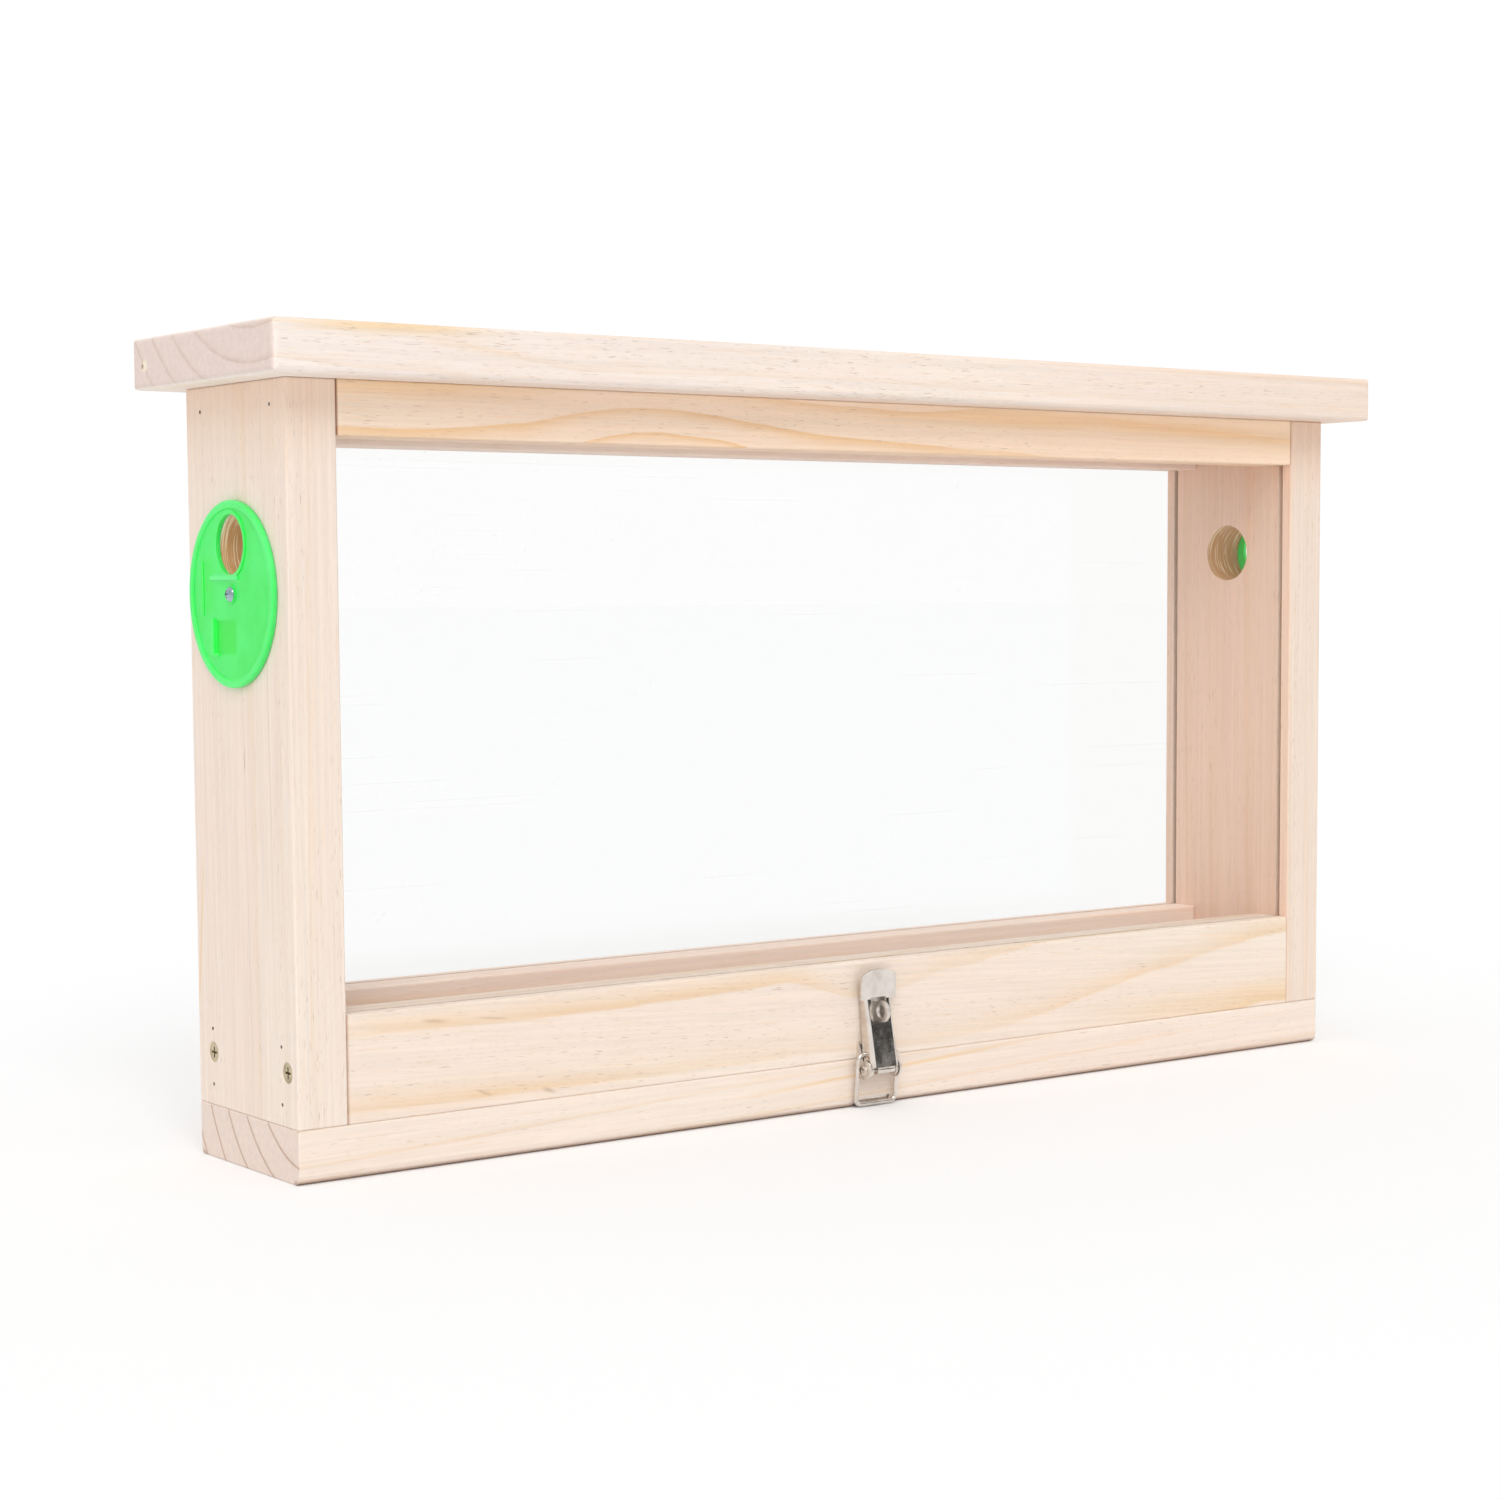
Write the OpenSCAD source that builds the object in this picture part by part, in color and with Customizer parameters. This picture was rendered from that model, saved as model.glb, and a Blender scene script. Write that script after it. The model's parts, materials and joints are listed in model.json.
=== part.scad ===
// Single-frame observation hive: a narrow pine box with a clear pane front and back,
// a rotating entrance disc on each end and a hinged base board held by a toggle latch.
// Millimetres. X runs along the width, the front faces -Y, +Z is up.
// The origin is the middle of the base board's underside.

/* [Box] */
// Width over the outside of the two posts
box_w = 526; // [480:2:640]
// Depth of the posts, front to back
box_d = 80; // [76:1:100]
// Thickness of the posts, the rails and the base board
board_t = 20; // [19:1:22]
// Height of the posts
post_h = 267; // [255:1:320]
// Height of the front and back top rails
top_rail_h = 20; // [18:1:30]
// Height of the front and back bottom rails
bottom_rail_h = 40; // [38:1:50]
// Radius on the edges of the posts and rails
edge_r = 0.8; // [0.4:0.1:1.5]

/* [Top board] */
// Thickness of the top board
top_t = 19; // [16:1:24]
// How far the top board overhangs each post
end_overhang = 13; // [10:1:30]
// How far the top board overhangs the front and the back
face_overhang = 17.5; // [14:0.5:30]
// Radius on the edges of the top board
top_edge_r = 2.2; // [1:0.1:4]

/* [Base board] */
// Radius on the two long bottom edges of the base board
base_edge_r = 4; // [2:0.1:6]

/* [Panes] */
// Thickness of each clear pane
pane_t = 2; // [1.5:0.1:2.1]
// Width of the groove that holds a pane
groove_w = 2.4; // [2.2:0.1:4]
// Depth of the groove
groove_d = 5; // [4:0.5:7]
// Wood left between the outer face and the groove
groove_lip = 5; // [4:0.5:7]

/* [Entrances] */
// Diameter of the bore through each post
bore_d = 25.4; // [24:0.1:26]
// Height of the bore's centre above the underside
bore_z = 227.5; // [215:0.5:235]
// Diameter of the rotating disc
disc_d = 68; // [67:0.5:70]
// How far the left disc's screw lies behind the middle of the post
disc_y = 2; // [0:0.5:2]
// Diameter of the opening in the disc
opening_d = 22; // [20:0.5:22.5]
// Distance from the disc's screw to the middle of the opening
opening_offset = 18; // [17:0.5:18.5]

/* [Latch] */
// How far the latch stands to the right of the middle
latch_x = -1.7; // [-20:0.1:20]
// Distance from the front face out to the lever's pivot
pivot_out = 5.2; // [5.2:0.1:6]
// How far the pivot lies below the seam over the base board
pivot_drop = 4.2; // [3.8:0.1:4.4]
// Angle by which the closed lever leans in towards the rail
lever_lean = 11; // [10:0.5:12]
// Diameter of the bail's wire
wire_d = 2; // [1.8:0.1:2.2]
// Distance between the middles of the bail's two legs
bail_w = 20.6; // [20.4:0.1:22]

/* [Hinges] */
// Distance of each hinge from the middle of the hive
hinge_x = 170; // [100:5:190]
// Width of a hinge
hinge_w = 38; // [30:1:50]

/* [Hidden] */
$fn = 48;
eps = 0.01;

pine = "#f2ddc4";
zinc = "#c9c7c2";
dark_steel = "#3a3633";
yellow_zinc = "#cdbd86";
nickel = "#bdb8b0";
green = "#3fe86a";

// Levels and faces of the box
seam_z = board_t;
post_top = board_t + post_h;
front_y = -box_d/2;
inner_w = box_w - 2*board_t;
window_low = seam_z + bottom_rail_h;
window_high = post_top - top_rail_h;
post_x = box_w/2 - board_t/2;
rail_y = box_d/2 - board_t/2;

// Pane
pane_y = box_d/2 - groove_lip;
side_play = 0.5;
pane_w = inner_w + 2*(groove_d - side_play);
pane_low = window_low - groove_d;
pane_high = window_high + groove_d - side_play;

// Entrance disc, from the post's face outward
opening_lift = 1.6;
disc_z = bore_z + opening_lift - opening_offset;
disc_gap = 0.2;
disc_floor = 1.3;
rim_h = 2;
rim_w = 3;
rim_round = 0.7;
collar_w = 1.4;
collar_h = 1.7;
boss_r = 3.6;
boss_h = 1.7;
disc_screw_r = 2;
disc_hole_r = disc_screw_r + 0.08;
disc_screw_len = 18;
pan_gap = 0.1;
pan_r = 2.8;
pan_h = 1.7;
// Ribs on the disc: middle above the screw, middle behind it, length up, width, height
disc_ribs = [[6, 4.8, 1.4, 22, 2.2], [-15.5, 14.8, 13.5, 2, 2.1], [-22.2, 12.4, 1.2, 4.4, 1.8],
    [2, 24, 20, 3, 1.6]];
// Thinned window in the disc: lowest and foremost corner, length up, width, depth
thin_at = [-21.6, -3.3];
thin_size = [12, 16];
thin_depth = 0.5;

// Countersunk screws into the rails' ends
post_screw_y = [-32, 28];
post_screw_z = seam_z + 20;
post_screw_r = 2;
post_screw_head_r = 3.8;
post_screw_len = 45;
head_sink = 0.4;

// Screws in general
tip_r = 0.2;
recess_depth = 1.3;
slot_share = 0.2;
small_screw_r = 1.5;
small_screw_len = 14;
small_pan_r = 2.6;
small_pan_h = 1.1;

// Brads
brad_r = 0.7;
brad_len = 35;
brad_y = rail_y - 2;
brad_levels = [seam_z + 8, seam_z + 29, post_top - 9];
top_brad_x = [-post_x, -box_w/6, box_w/6, post_x];

// Latch: the base plate and its ears
latch_t = 1;
pivot_y = front_y - pivot_out;
pivot_z = seam_z - pivot_drop;
rivet_r = 1.6;
rivet_hole_r = 0.8;
rivet_head_r = 2.2;
rivet_head_t = 0.8;
running = 0.06;
ear_r = 4;
ear_in = 7.3;
ear_out = ear_in + latch_t;
ear_neck = 7;
plate_half_w = 5.9;
foot_half_w = ear_out;
plate_low = seam_z + 1;
plate_high = seam_z + 34;
foot_high = plate_low + 5;
plate_screw_z = [plate_low + 8.5, plate_high - 3.5];

// Staple that stands out through the lever
staple_z = pivot_z + 23.8;
staple_y = pivot_y - 1.4;
staple_r = 4.4;
staple_hole_r = 2.8;
staple_t = 1.6;
staple_root = 7;

// Lever, in its own frame: the pivot is the origin and +Z runs up the lever
lever_half_w = 7;
lever_front = -4.4;
lever_low = 0.6;
lever_high = 28.6;
bend_out_r = 1.7;
flange_r = 3.3;
bail_boss_r = 2.6;
flange_top_depth = 3.6;
flange_low_depth = 5.4;
roll_r = 1.6;
roll_in = 0.1;
roll_half_w = 4.5;
tab_half_w = 9;
tab_h = 12.4;
tab_rise = 2.6;
tab_corner_r = 4;
tab_bend = 14;
slot_low = 18.6;
slot_high = 29.2;
slot_half_w = 4;
bail_arm = 6.6;

// Bail: hangs from the lever, its lower bar just in front of the keeper
bail_y = pivot_y + bail_arm*sin(lever_lean);
bail_z = pivot_z + bail_arm*cos(lever_lean);
bail_lean = 6;
bail_floor_gap = 0.4;
bail_drop = (bail_z - wire_d/2 - bail_floor_gap)/cos(bail_lean);
bail_end_x = 4.8;
bend_r = 2.8;

// Keeper, let into the base board
notch_half_w = 9;
notch_d = 14;
notch_h = 3.6;
keeper_half_w = 7.6;
keeper_t = 1;
keeper_lip_low = 0.9;
keeper_set_back = 0.1;
keeper_screw_x = 4.4;
keeper_screw_y = front_y + 8.5;

// Hinges
leaf_t = 1.2;
knuckle_r = 2.2;
hinge_pin_r = 1.1;
hinge_running = 0.07;
hinge_y = box_d/2 + 2.6;
leaf_h = 15;
knuckles = 5;
knuckle_gap = 0.2;
knuckle_w = hinge_w/knuckles;
leaf_screw_x = hinge_w/2 - 7;
leaf_screw_h = 9.5;
leaf_head_r = 2.65;
bore_past = 0.4;

// ---- Boards ----

module rounded_rect(w, h, r) {
    square([w - 2*r, h], center = true);
    square([w, h - 2*r], center = true);
    for (x = [-1, 1], y = [-1, 1])
        translate([x*(w/2 - r), y*(h/2 - r)]) circle(r = r);
}

// A board centred on the origin, with every edge rounded
module board(w, d, h, r) {
    intersection() {
        translate([0, 0, -h/2]) linear_extrude(h) rounded_rect(w, d, r);
        rotate([90, 0, 0]) translate([0, 0, -d/2]) linear_extrude(d) rounded_rect(w, h, r);
        rotate([90, 0, 90]) translate([0, 0, -w/2]) linear_extrude(w) rounded_rect(d, h, r);
    }
}

module top_board() {
    color(pine) difference() {
        translate([0, 0, post_top + top_t/2])
            board(box_w + 2*end_overhang, box_d + 2*face_overhang, top_t, top_edge_r);
        top_brad_set();
    }
}

// Post on the left; the right one is the same board turned half way round
module post() {
    difference() {
        translate([-post_x, 0, seam_z + post_h/2]) board(board_t, box_d, post_h, edge_r);
        pane_grooves();
        translate([-box_w/2 - 1, 0, bore_z]) rotate([0, 90, 0])
            cylinder(d = bore_d, h = board_t + 2);
        disc_pilot_hole();
        post_screw_set();
        post_brad_set();
        top_brad_set();
    }
}

module left_post() {
    color(pine) post();
}

module right_post() {
    color(pine) rotate([0, 0, 180]) post();
}

// Room for both panes, cut from the posts and the rails
module pane_grooves() {
    for (s = [-1, 1])
        translate([0, s*(pane_y - groove_w/2), (pane_low + window_high + groove_d)/2])
            cube([inner_w + 2*groove_d, groove_w, window_high - pane_low + groove_d],
                center = true);
}

module rail(height, low) {
    difference() {
        translate([0, -rail_y, low + height/2]) board(inner_w, board_t, height, edge_r);
        pane_grooves();
        post_screw_set();
        post_brad_set();
        top_brad_set();
    }
}

module front_top_rail() {
    color(pine) rail(top_rail_h, window_high);
}

module back_top_rail() {
    color(pine) rotate([0, 0, 180]) rail(top_rail_h, window_high);
}

module front_bottom_rail() {
    color(pine) difference() {
        rail(bottom_rail_h, seam_z);
        at_latch() at_plate_screws() screw_hole(small_screw_r, small_screw_len);
    }
}

module back_bottom_rail() {
    color(pine) difference() {
        rotate([0, 0, 180]) rail(bottom_rail_h, seam_z);
        for (x = [-hinge_x, hinge_x])
            at_leaf_screws(x, 1) screw_hole(small_screw_r, small_screw_len);
    }
}

module base_profile() {
    translate([-box_d/2, base_edge_r]) square([box_d, board_t - base_edge_r - edge_r]);
    translate([-box_d/2 + base_edge_r, 0]) square([box_d - 2*base_edge_r, board_t]);
    for (s = [-1, 1]) {
        translate([s*(box_d/2 - base_edge_r), base_edge_r]) circle(r = base_edge_r);
        translate([s*(box_d/2 - base_edge_r/2 - edge_r/2), board_t - edge_r])
            square([base_edge_r - edge_r, 2*edge_r], center = true);
        translate([s*(box_d/2 - edge_r), board_t - edge_r]) circle(r = edge_r);
    }
}

module base_board() {
    color(pine) difference() {
        intersection() {
            translate([-box_w/2, 0, 0]) rotate([90, 0, 90]) linear_extrude(box_w)
                base_profile();
            translate([0, 0, board_t/2]) board(box_w, box_d, board_t, edge_r);
        }
        at_latch() {
            translate([-notch_half_w, front_y - 1, -1])
                cube([2*notch_half_w, notch_d + 1, notch_h + 1]);
            at_keeper_screws() screw_hole(small_screw_r, small_screw_len);
        }
        for (x = [-hinge_x, hinge_x])
            at_leaf_screws(x, -1) screw_hole(small_screw_r, small_screw_len);
    }
}

module pane() {
    translate([-pane_w/2, -pane_y, pane_low]) cube([pane_w, pane_t, pane_high - pane_low]);
}

module front_pane() {
    color("azure", 0.35) pane();
}

module back_pane() {
    color("azure", 0.35) rotate([0, 0, 180]) pane();
}

// ---- Screws and brads: the head's top is at z = 0 and the shank runs down ----

module cross_recess(r) {
    slot = slot_share*r;
    for (a = [0, 90])
        rotate([0, 0, a]) translate([-r, -slot, -recess_depth])
            cube([2*r, 2*slot, recess_depth + 1]);
}

module screw_hole(r, len) {
    translate([0, 0, -len]) cylinder(r = r, h = len + 1);
}

module countersunk_body(head_r, r, len) {
    translate([0, 0, r - head_r]) cylinder(r1 = r, r2 = head_r, h = head_r - r);
    translate([0, 0, -len + 2*r]) cylinder(r = r, h = len - 2*r - eps);
    translate([0, 0, -len]) cylinder(r1 = tip_r, r2 = r, h = 2*r);
}

module countersunk_screw(head_r, r, len) {
    difference() {
        countersunk_body(head_r, r, len);
        cross_recess(0.55*head_r);
    }
}

// A pan head stands above z = 0
module pan_screw(head_r, head_h, r, len) {
    dome_r = (head_r*head_r + head_h*head_h)/(2*head_h);
    difference() {
        union() {
            intersection() {
                cylinder(r = head_r, h = head_h);
                translate([0, 0, head_h - dome_r]) sphere(r = dome_r);
            }
            translate([0, 0, -len + 2*r]) cylinder(r = r, h = len - 2*r + eps);
            translate([0, 0, -len]) cylinder(r1 = tip_r, r2 = r, h = 2*r);
        }
        translate([0, 0, head_h]) cross_recess(0.5*head_r);
    }
}

module at_post_screws() {
    for (s = [0, 180], y = post_screw_y)
        rotate([0, 0, s]) translate([-box_w/2 + head_sink, y, post_screw_z])
            rotate([0, -90, 0]) children();
}

// The screws' own shape and the open countersink over each head
module post_screw_set() {
    at_post_screws() {
        countersunk_body(post_screw_head_r, post_screw_r, post_screw_len);
        translate([0, 0, -eps]) cylinder(r1 = post_screw_head_r, r2 = post_screw_head_r + 1,
            h = 1);
    }
}

module post_screws() {
    color(yellow_zinc) at_post_screws()
        countersunk_screw(post_screw_head_r, post_screw_r, post_screw_len);
}

module post_brad_set() {
    for (s = [0, 180], y = [-brad_y, brad_y], z = brad_levels)
        rotate([0, 0, s]) translate([-box_w/2, y, z]) rotate([0, 90, 0])
            cylinder(r = brad_r, h = brad_len);
}

module post_brads() {
    color(dark_steel) post_brad_set();
}

module top_brad_set() {
    for (x = top_brad_x, y = [-rail_y, rail_y])
        translate([x, y, post_top + top_t - brad_len]) cylinder(r = brad_r, h = brad_len);
}

module top_brads() {
    color(dark_steel) top_brad_set();
}

// ---- Entrance discs: built on the left, turned half way round for the right ----

// Local frame: +Z away from the post, +X up, the screw on the axis
module at_disc() {
    translate([-box_w/2, disc_y, disc_z]) rotate([0, -90, 0]) children();
}

module disc_pilot_hole() {
    at_disc() screw_hole(disc_screw_r, disc_screw_len);
}

module rim_profile() {
    square([rim_w, rim_h - rim_round]);
    translate([rim_round, 0]) square([rim_w - 2*rim_round, rim_h]);
    for (x = [rim_round, rim_w - rim_round])
        translate([x, rim_h - rim_round]) circle(r = rim_round);
}

module rib(x, y, length, width, height) {
    translate([x - length/2, y - width/2, 0]) cube([length, width, height]);
}

module entrance_disc() {
    at_disc() translate([0, 0, disc_gap]) difference() {
        union() {
            cylinder(d = disc_d - rim_w, h = disc_floor);
            rotate_extrude() translate([disc_d/2 - rim_w, 0]) rim_profile();
            translate([opening_offset, 0, 0])
                cylinder(d = opening_d + 2*collar_w, h = collar_h);
            cylinder(r = boss_r, h = boss_h);
            for (r = disc_ribs) rib(r[0], r[1], r[2], r[3], r[4]);
        }
        translate([opening_offset, 0, -1]) cylinder(d = opening_d, h = rim_h + 3);
        translate([0, 0, -1]) cylinder(r = disc_hole_r, h = rim_h + 3);
        translate([thin_at[0], thin_at[1], disc_floor - thin_depth])
            cube([thin_size[0], thin_size[1], thin_depth + eps]);
    }
}

module disc_screw() {
    under_head = disc_gap + boss_h + pan_gap;
    at_disc() translate([0, 0, under_head])
        pan_screw(pan_r, pan_h, disc_screw_r, disc_screw_len + under_head);
}

module left_entrance_disc() {
    color(green) entrance_disc();
}

module right_entrance_disc() {
    color(green) rotate([0, 0, 180]) entrance_disc();
}

module left_disc_screw() {
    color(zinc) disc_screw();
}

module right_disc_screw() {
    color(zinc) rotate([0, 0, 180]) disc_screw();
}

// ---- Toggle latch ----

module at_latch() {
    translate([latch_x, 0, 0]) children();
}

// Ear of the base plate, drawn in Y and Z from the pivot: a round end and a neck that
// widens up to the plate
module ear_outline() {
    circle(r = ear_r);
    polygon([[0, 0], [ear_r/2, ear_r - latch_t/2], [pivot_out - latch_t, pivot_drop + ear_neck],
        [pivot_out, pivot_drop + ear_neck], [pivot_out, pivot_drop + latch_t],
        [ear_r, pivot_drop + latch_t], [ear_r, 0]]);
}

module staple() {
    translate([-staple_t/2, staple_y, staple_z]) rotate([90, 0, 90]) linear_extrude(staple_t)
        difference() {
            union() {
                circle(r = staple_r);
                translate([0, -staple_root/2])
                    square([front_y - staple_y - eps, staple_root]);
            }
            circle(r = staple_hole_r);
        }
}

module latch_base_plate() {
    color(nickel) at_latch() difference() {
        union() {
            translate([-plate_half_w, front_y - latch_t, plate_low])
                cube([2*plate_half_w, latch_t, plate_high - plate_low]);
            translate([-foot_half_w, front_y - latch_t, plate_low])
                cube([2*foot_half_w, latch_t, foot_high - plate_low]);
            for (x = [-ear_out, ear_in])
                translate([x, pivot_y, pivot_z]) rotate([90, 0, 90])
                    linear_extrude(latch_t) ear_outline();
            staple();
        }
        translate([-ear_out - 1, pivot_y, pivot_z]) rotate([0, 90, 0])
            cylinder(r = rivet_r, h = 2*ear_out + 2);
        at_plate_screws() screw_hole(small_screw_r, latch_t + 1);
    }
}

module at_plate_screws() {
    for (z = plate_screw_z)
        translate([0, front_y - latch_t, z]) rotate([90, 0, 0]) children();
}

module latch_plate_screws() {
    color(nickel) at_latch() at_plate_screws()
        pan_screw(small_pan_r, small_pan_h, small_screw_r, small_screw_len);
}

module latch_rivet() {
    color(nickel) at_latch() translate([0, pivot_y, pivot_z]) rotate([0, 90, 0]) difference() {
        union() {
            cylinder(r = rivet_r, h = 2*ear_out, center = true);
            for (s = [-1, 1])
                translate([0, 0, s*(ear_out + rivet_head_t/2)])
                    cylinder(r = rivet_head_r, h = rivet_head_t, center = true);
        }
        cylinder(r = rivet_hole_r, h = 2*ear_out + 4, center = true);
    }
}

// Block with two rounded front corners, in X and Y, open-ended towards the rail
module channel_block(half_w, front, corner_r, back) {
    translate([-half_w + corner_r, front]) square([2*(half_w - corner_r), back - front]);
    translate([-half_w, front + corner_r]) square([2*half_w, back - front - corner_r]);
    for (s = [-1, 1])
        translate([s*(half_w - corner_r), front + corner_r]) circle(r = corner_r);
}

module channel_outline() {
    difference() {
        channel_block(lever_half_w, lever_front, bend_out_r, flange_r + 1);
        channel_block(lever_half_w - latch_t, lever_front + latch_t, bend_out_r - latch_t,
            flange_r + 2);
    }
}

// Side view of the channel, in Y and Z: the flanges deepen down the lever and end in
// rounds about the bail's bar and the pivot
module flange_outline() {
    circle(r = flange_r);
    translate([0, bail_arm]) circle(r = bail_boss_r);
    polygon([[lever_front - 1, lever_low], [lever_front - 1, lever_high],
        [lever_front + flange_top_depth, lever_high],
        [lever_front + flange_low_depth, bail_arm + bail_boss_r],
        [bail_boss_r, bail_arm], [flange_r, 0], [0, 0]]);
}

module lever_channel() {
    intersection() {
        translate([0, 0, -flange_r - 1]) linear_extrude(lever_high + flange_r + 2)
            channel_outline();
        translate([-lever_half_w - 1, 0, 0]) rotate([90, 0, 90])
            linear_extrude(2*lever_half_w + 2) flange_outline();
    }
}

// Finger tab: straight sides, round corners and an arched top
module tab_outline() {
    arch_r = (tab_half_w*tab_half_w + tab_rise*tab_rise)/(2*tab_rise);
    intersection() {
        union() {
            translate([-tab_half_w, 0]) square([2*tab_half_w, tab_h - tab_corner_r]);
            translate([-tab_half_w + tab_corner_r, 0])
                square([2*(tab_half_w - tab_corner_r), tab_h + 1]);
            for (s = [-1, 1])
                translate([s*(tab_half_w - tab_corner_r), tab_h - tab_corner_r])
                    circle(r = tab_corner_r);
        }
        translate([0, tab_h - arch_r]) circle(r = arch_r);
    }
}

module lever_tab() {
    translate([0, lever_front + latch_t, lever_high]) rotate([90 + tab_bend, 0, 0])
        linear_extrude(latch_t) {
            tab_outline();
            translate([-lever_half_w + bend_out_r, -latch_t/2])
                square([2*(lever_half_w - bend_out_r), latch_t]);
        }
}

// Curled lower edge of the lever's plate
module lever_roll() {
    translate([-roll_half_w, lever_front + roll_r + roll_in, lever_low - roll_r + latch_t/2])
        rotate([0, 90, 0]) cylinder(r = roll_r, h = 2*roll_half_w);
}

module latch_lever() {
    color(nickel) at_latch() translate([0, pivot_y, pivot_z]) rotate([-lever_lean, 0, 0])
        difference() {
            union() {
                lever_channel();
                lever_tab();
                lever_roll();
            }
            translate([-slot_half_w, lever_front - 1, slot_low])
                cube([2*slot_half_w, latch_t + 2, slot_high - slot_low]);
            rotate([0, 90, 0]) cylinder(r = rivet_r + running, h = 4*lever_half_w, center = true);
            translate([0, 0, bail_arm]) rotate([0, 90, 0])
                cylinder(r = wire_d/2 + running, h = 4*lever_half_w, center = true);
        }
}

// A quarter bend of the wire from +X to +Z about the local origin
module wire_bend() {
    rotate([90, 0, 0]) rotate_extrude(angle = 90) translate([bend_r, 0]) circle(d = wire_d);
}

module wire_run(from_x, from_z, length, turn) {
    translate([from_x, 0, from_z]) rotate([0, turn, 0]) cylinder(d = wire_d, h = length);
}

module latch_bail() {
    leg_x = bail_w/2;
    color(nickel) at_latch() translate([0, bail_y, bail_z]) rotate([bail_lean, 0, 0]) {
        for (s = [0, 1]) mirror([s, 0, 0]) {
            wire_run(bail_end_x, 0, leg_x - bend_r - bail_end_x, 90);
            translate([leg_x - bend_r, 0, -bend_r]) wire_bend();
            wire_run(leg_x, -bail_drop + bend_r, bail_drop - 2*bend_r, 0);
            translate([leg_x - bend_r, 0, -bail_drop + bend_r]) rotate([0, 90, 0])
                wire_bend();
        }
        wire_run(-leg_x + bend_r, -bail_drop, bail_w - 2*bend_r, 90);
    }
}

module at_keeper_screws() {
    for (x = [-keeper_screw_x, keeper_screw_x])
        translate([x, keeper_screw_y, notch_h - keeper_t]) rotate([180, 0, 0]) children();
}

module latch_keeper() {
    color(nickel) at_latch() difference() {
        union() {
            translate([-keeper_half_w, front_y + keeper_set_back, notch_h - keeper_t])
                cube([2*keeper_half_w, notch_d - 2*keeper_set_back, keeper_t]);
            translate([-keeper_half_w, front_y + keeper_set_back, keeper_lip_low])
                cube([2*keeper_half_w, keeper_t, notch_h - keeper_lip_low]);
        }
        at_keeper_screws() screw_hole(small_screw_r, small_screw_len);
    }
}

module keeper_screws() {
    color(nickel) at_latch() at_keeper_screws()
        pan_screw(small_pan_r, small_pan_h, small_screw_r, small_screw_len);
}

// ---- Butt hinges on the back, with the pin level with the seam ----

// Knuckles 0, 2 and 4 belong to the upper leaf, 1 and 3 to the lower
function knuckle_x(i) = -hinge_w/2 + i*knuckle_w;

module at_leaf_screws(x, side) {
    for (dx = [-leaf_screw_x, leaf_screw_x])
        translate([x + dx, box_d/2 + leaf_t, seam_z + side*leaf_screw_h])
            rotate([-90, 0, 0]) children();
}

module leaf(x, side, own, bore_r) {
    difference() {
        union() {
            translate([x - hinge_w/2, box_d/2, side > 0 ? seam_z : seam_z - leaf_h])
                cube([hinge_w, leaf_t, leaf_h]);
            for (i = own)
                translate([x + knuckle_x(i) + knuckle_gap/2, hinge_y, seam_z])
                    rotate([0, 90, 0]) cylinder(r = knuckle_r, h = knuckle_w - knuckle_gap);
        }
        for (i = [0 : knuckles - 1]) if (len(search(i, own)) == 0)
            translate([x + knuckle_x(i) - knuckle_gap/2, hinge_y, seam_z])
                rotate([0, 90, 0])
                    cylinder(r = knuckle_r + bore_past, h = knuckle_w + knuckle_gap);
        translate([x - hinge_w, hinge_y, seam_z]) rotate([0, 90, 0])
            cylinder(r = bore_r, h = 2*hinge_w);
        at_leaf_screws(x, side) screw_hole(small_screw_r, small_screw_len);
        at_leaf_screws(x, side) translate([0, 0, small_screw_r - leaf_head_r])
            cylinder(r1 = small_screw_r, r2 = leaf_head_r + eps,
                h = leaf_head_r - small_screw_r + eps);
    }
}

module upper_leaf(x) {
    color(zinc) leaf(x, 1, [0, 2, 4], hinge_pin_r);
}

module lower_leaf(x) {
    color(zinc) leaf(x, -1, [1, 3], hinge_pin_r + hinge_running);
}

module hinge_pin(x) {
    color(zinc) translate([x - hinge_w/2, hinge_y, seam_z]) rotate([0, 90, 0])
        cylinder(r = hinge_pin_r, h = hinge_w);
}

module leaf_screws(side) {
    color(zinc) for (x = [-hinge_x, hinge_x])
        at_leaf_screws(x, side)
            countersunk_screw(leaf_head_r, small_screw_r, small_screw_len);
}

module left_hinge_upper_leaf() {
    upper_leaf(-hinge_x);
}

module right_hinge_upper_leaf() {
    upper_leaf(hinge_x);
}

module left_hinge_lower_leaf() {
    lower_leaf(-hinge_x);
}

module right_hinge_lower_leaf() {
    lower_leaf(hinge_x);
}

module left_hinge_pin() {
    hinge_pin(-hinge_x);
}

module right_hinge_pin() {
    hinge_pin(hinge_x);
}

module hinge_upper_screws() {
    leaf_screws(1);
}

module hinge_lower_screws() {
    leaf_screws(-1);
}

top_board();
left_post();
right_post();
front_top_rail();
back_top_rail();
front_bottom_rail();
back_bottom_rail();
front_pane();
back_pane();
base_board();
left_entrance_disc();
right_entrance_disc();
left_disc_screw();
right_disc_screw();
post_screws();
post_brads();
top_brads();
latch_base_plate();
latch_plate_screws();
latch_rivet();
latch_lever();
latch_bail();
latch_keeper();
keeper_screws();
left_hinge_upper_leaf();
right_hinge_upper_leaf();
left_hinge_lower_leaf();
right_hinge_lower_leaf();
left_hinge_pin();
right_hinge_pin();
hinge_upper_screws();
hinge_lower_screws();
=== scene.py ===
"""Looks of the single-frame observation hive: procedural pine, nickel, zinc, green plastic and clear
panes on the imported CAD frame, with a soft white studio. Metres, in the frame's own axes."""
import json
import math

import bpy
from mathutils import Matrix, Vector


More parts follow.
